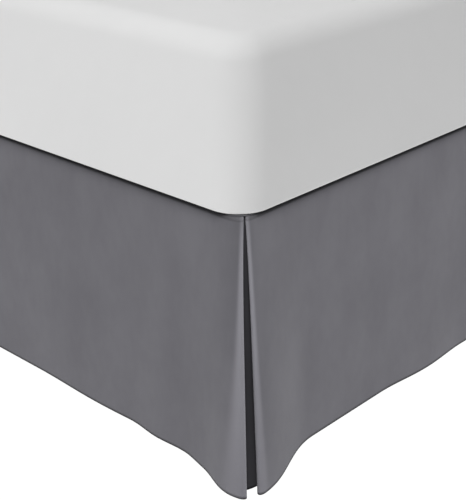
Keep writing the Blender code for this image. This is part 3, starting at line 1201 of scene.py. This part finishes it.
@dataclass
class BoxSpring:
    """The box spring: a padded box in ticking with a piped edge round its top and its bottom."""

    bed: Bed
    edge: float = 0.006
    bulge: float = 0.0015
    piping: float = 0.0028
    edge_steps: int = 5
    side_steps: int = 16
    ring_steps: tuple[int, int] = (12, 40)

    def outline(self, inset: float, height: float) -> np.ndarray:
        """A level ring round the box, this far inside its faces."""
        within = self.bed.box_inset + inset
        return self.bed.ring(within, within, self.bed.box_corner - inset, height, self.ring_steps)

    def build(self, finishes: Finishes) -> list[Piece]:
        """Builds the padded box and its two pipings."""
        low, high = self.bed.box_low_z, self.bed.seam_z
        bottom = arc((self.edge, low + self.edge), self.edge, 270, 180, self.edge_steps)
        share = np.linspace(0, 1, self.side_steps)[1:-1]
        side_z = low + self.edge + (high - low - 2 * self.edge) * share
        side = np.stack([-self.bulge * np.sin(math.pi * share), side_z], axis=1)
        top = arc((self.edge, high - self.edge), self.edge, 180, 90, self.edge_steps)
        profile = np.concatenate([bottom, side, top])
        rings = np.stack([self.outline(inset, height) for inset, height in profile])
        box = ringed_object("box_spring_ticking", rings)
        box.data.materials.append(finishes.ticking)
        stand_for(box, Slot.TICKING, "box_spring")
        pieces = [box]
        for name, height in (("piping_low", low + self.edge), ("piping_high", high - self.edge)):
            pieces.append(self.build_piping(name, height, finishes))
        return pieces

    def build_piping(self, name: str, height: float, finishes: Finishes) -> Piece:
        """A round cord of cloth along the box's edge: a circle carried round the outline."""
        section = arc((0.0, height), self.piping, 0, 360, 12)[:-1]
        loop = np.stack([self.outline(inset, level) for inset, level in section[::-1]])
        levels, count = loop.shape[:2]
        closed = np.concatenate([loop, loop[:1]])
        wrapped = np.concatenate([closed, closed[:, :1]], axis=1)
        quads = grid_quads(levels + 1, count, closed=True) % (levels * count)
        uv = grid_uv(path_lengths(wrapped, 1), path_lengths(wrapped, 0))
        piece = mesh_object(name, loop.reshape(-1, 3), quads, uv)
        piece.data.materials.append(finishes.piping)
        stand_for(piece, Slot.TICKING)
        return piece


@dataclass
class Leg:
    """A turned leg: a pad, a taper and a collar under the box spring."""

    node: str
    foot_radius: float = 0.022
    top_radius: float = 0.030
    collar: float = 0.012
    sides: int = 64
    sharp_degrees: float = 40.0

    def build(self, finishes: Finishes) -> Piece:
        """Turns the leg's profile, (radius, height) from the floor up, round the middle of its node's box."""
        low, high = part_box(self.node)
        x, y = (low.x + high.x) / 2, (low.y + high.y) / 2
        pad = np.array([
            [self.foot_radius - 0.0015, 0.0],
            [self.foot_radius - 0.0003, 0.0005],
            [self.foot_radius, 0.0015],
        ])
        share = np.linspace(0, 1, 24)[:, None]
        taper_top = high.z - self.collar - 0.003
        taper = np.hstack([
            self.foot_radius + 0.0002 + (self.top_radius - 0.003 - self.foot_radius) * share**1.15,
            0.004 + (taper_top - 0.004) * share,
        ])
        collar = np.array([
            [self.top_radius - 0.0035, high.z - self.collar - 0.0015],
            [self.top_radius - 0.0012, high.z - self.collar],
            [self.top_radius, high.z - self.collar + 0.0015],
            [self.top_radius, high.z - 0.0015],
            [self.top_radius - 0.0006, high.z - 0.0004],
            [self.top_radius - 0.0018, high.z],
        ])
        profile = np.concatenate([pad, taper, collar])
        angle = np.linspace(0, 2 * math.pi, self.sides, endpoint=False)
        circle = np.stack([np.cos(angle), np.sin(angle)], axis=1)
        rings = [np.column_stack([(x, y) + circle * radius, np.full(self.sides, z)]) for radius, z in profile]
        piece = ringed_object(f"{self.node}_turned", np.stack(rings))
        piece.data.set_sharp_from_angle(angle=math.radians(self.sharp_degrees))
        piece.data.materials.append(finishes.wood)
        stand_for(piece, Slot.LEG, self.node)
        return piece


@dataclass(frozen=True)
class Sun:
    """A broad soft light from one direction.

    azimuth is counted in degrees from +X towards +Y, elevation from the floor up, and spread is the
    light's apparent width. strength is what it gives a face that looks straight at it, as a share of
    what a full white sky gives. It lights the pieces of one group.
    """

    name: str
    azimuth: float
    elevation: float
    strength: float
    spread: float
    lit: Lit

    def build(self, pieces: bpy.types.Collection) -> None:
        """Builds the light, which lights this collection only."""
        azimuth, elevation = math.radians(self.azimuth), math.radians(self.elevation)
        level = math.cos(elevation)
        towards = Vector((level * math.cos(azimuth), level * math.sin(azimuth), math.sin(elevation)))
        data = bpy.data.lights.new(self.name, "SUN")
        data.energy = self.strength * math.pi
        data.angle = math.radians(self.spread)
        light = bpy.data.objects.new(self.name, data)
        light.rotation_euler = towards.to_track_quat("Z", "Y").to_euler()
        light.light_linking.receiver_collection = pieces
        bpy.context.scene.collection.objects.link(light)


SIDE_TURNS = {"foot": -90.0, "right": 0.0, "head": 90.0, "left": 180.0}
CORNER_TURNS = {"foot_right": -45.0, "head_right": 45.0, "head_left": 135.0, "foot_left": -135.0}


@dataclass
class Studio:
    """The floor, the light and the camera.

    The camera's place is measured from the sharp foot right corner of the mattress, on the floor. The
    skirt has weak suns square to the bed's sides and strong ones over its corners, and the pleat panels
    have one at each foot corner.
    """

    bed: Bed
    picture_height: int = 500
    focal_px: float = 1158.36
    camera_from_corner: tuple[float, float, float] = (0.90787, -0.96371, 0.94648)
    yaw: float = 0.76316
    pitch: float = 0.42440
    roll: float = -0.01198
    sensor: float = 36.0
    floor_half: float = 12.0
    sky: float = 0.20
    floor_glow: float = 1.05
    suns: tuple[Sun, ...] = (
        Sun("overhead", 0.0, 90.0, 0.41, 20.0, Lit.BED),
        Sun("key", -90.0, 45.0, 0.36, 40.0, Lit.BED),
        *(Sun(f"skirt_{place}", turn, 56.0, 0.205, 30.0, Lit.SKIRT) for place, turn in SIDE_TURNS.items()),
        *(Sun(f"skirt_{place}", turn, 56.0, 0.835, 30.0, Lit.SKIRT) for place, turn in CORNER_TURNS.items()),
        Sun("pleat_right", -46.7, 28.0, 0.215, 20.0, Lit.PLEATS),
        Sun("pleat_left", -133.3, 28.0, 0.215, 20.0, Lit.PLEATS),
    )

    def build_camera(self) -> None:
        """Places the camera: forward from yaw and pitch, then turned about it by the roll."""
        forward = Vector((
            -math.sin(self.yaw) * math.cos(self.pitch),
            math.cos(self.yaw) * math.cos(self.pitch),
            -math.sin(self.pitch),
        ))
        level = Vector((math.cos(self.yaw), math.sin(self.yaw), 0.0))
        upward = level.cross(forward)
        right = level * math.cos(self.roll) + upward * math.sin(self.roll)
        up = upward * math.cos(self.roll) - level * math.sin(self.roll)
        place = Vector((self.bed.side_x, self.bed.foot_y, 0.0)) + Vector(self.camera_from_corner)
        data = bpy.data.cameras.new("camera")
        data.sensor_fit = "VERTICAL"
        data.sensor_height = self.sensor
        data.lens = self.focal_px * self.sensor / self.picture_height
        data.clip_end = 100.0
        camera = bpy.data.objects.new("camera", data)
        camera.matrix_world = Matrix.Translation(place) @ Matrix((right, up, -forward)).transposed().to_4x4()
        bpy.context.scene.collection.objects.link(camera)
        bpy.context.scene.camera = camera

    def build_floor(self, lit: bpy.types.Collection) -> None:
        """A white floor that glows, so that no shadow shows on it, and that lights this collection only."""
        half = self.floor_half
        points = np.array([[-half, -half, 0.0], [half, -half, 0.0], [half, half, 0.0], [-half, half, 0.0]])
        floor = mesh_object("floor", points, np.array([[0, 1, 2, 3]]), points[None, :, :2])
        material, _, shader = new_material("floor_white")
        shader.inputs["Base Color"].default_value = (0.02, 0.02, 0.02, 1.0)
        shader.inputs["Roughness"].default_value = 0.9
        shader.inputs["Specular IOR Level"].default_value = 0.0
        shader.inputs["Emission Color"].default_value = WHITE
        shader.inputs["Emission Strength"].default_value = self.floor_glow
        floor.data.materials.append(material)
        floor.light_linking.receiver_collection = lit

    def collect(self, name: str, pieces: list[Piece]) -> bpy.types.Collection:
        """A collection of these pieces, for lights to be linked to."""
        collection = bpy.data.collections.new(name)
        for piece in pieces:
            collection.objects.link(piece)
        return collection

    def build(self, groups: dict[Lit, list[Piece]]) -> None:
        """Builds the whole studio.

        Args:
            groups: The pieces of each group that has light of its own.
        """
        scene = bpy.context.scene
        scene.view_settings.view_transform = "Standard"
        world = bpy.data.worlds.new("studio")
        world.use_nodes = True
        world.node_tree.nodes["Background"].inputs["Color"].default_value = WHITE
        world.node_tree.nodes["Background"].inputs["Strength"].default_value = self.sky
        scene.world = world
        collections = {lit: self.collect(lit.value, pieces) for lit, pieces in groups.items()}
        for sun in self.suns:
            sun.build(collections[sun.lit])
        self.build_floor(collections[Lit.BED])
        self.build_camera()


def main() -> None:
    """Builds the bed and its skirt, then the studio round it."""
    logging.basicConfig(level=logging.INFO, format="%(name)s: %(message)s")
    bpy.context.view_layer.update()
    bed = Bed.from_frame()
    finishes = Finishes.build()
    skirt, pleats = Skirt(bed).build(finishes)
    others = [Mattress(bed).build(finishes)] + BoxSpring(bed).build(finishes)
    others += [Leg(node).build(finishes) for node in sorted(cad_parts) if node.startswith("leg_")]
    Studio(bed).build({Lit.SKIRT: skirt, Lit.PLEATS: pleats, Lit.BED: others})


if __name__ == "__main__":
    main()
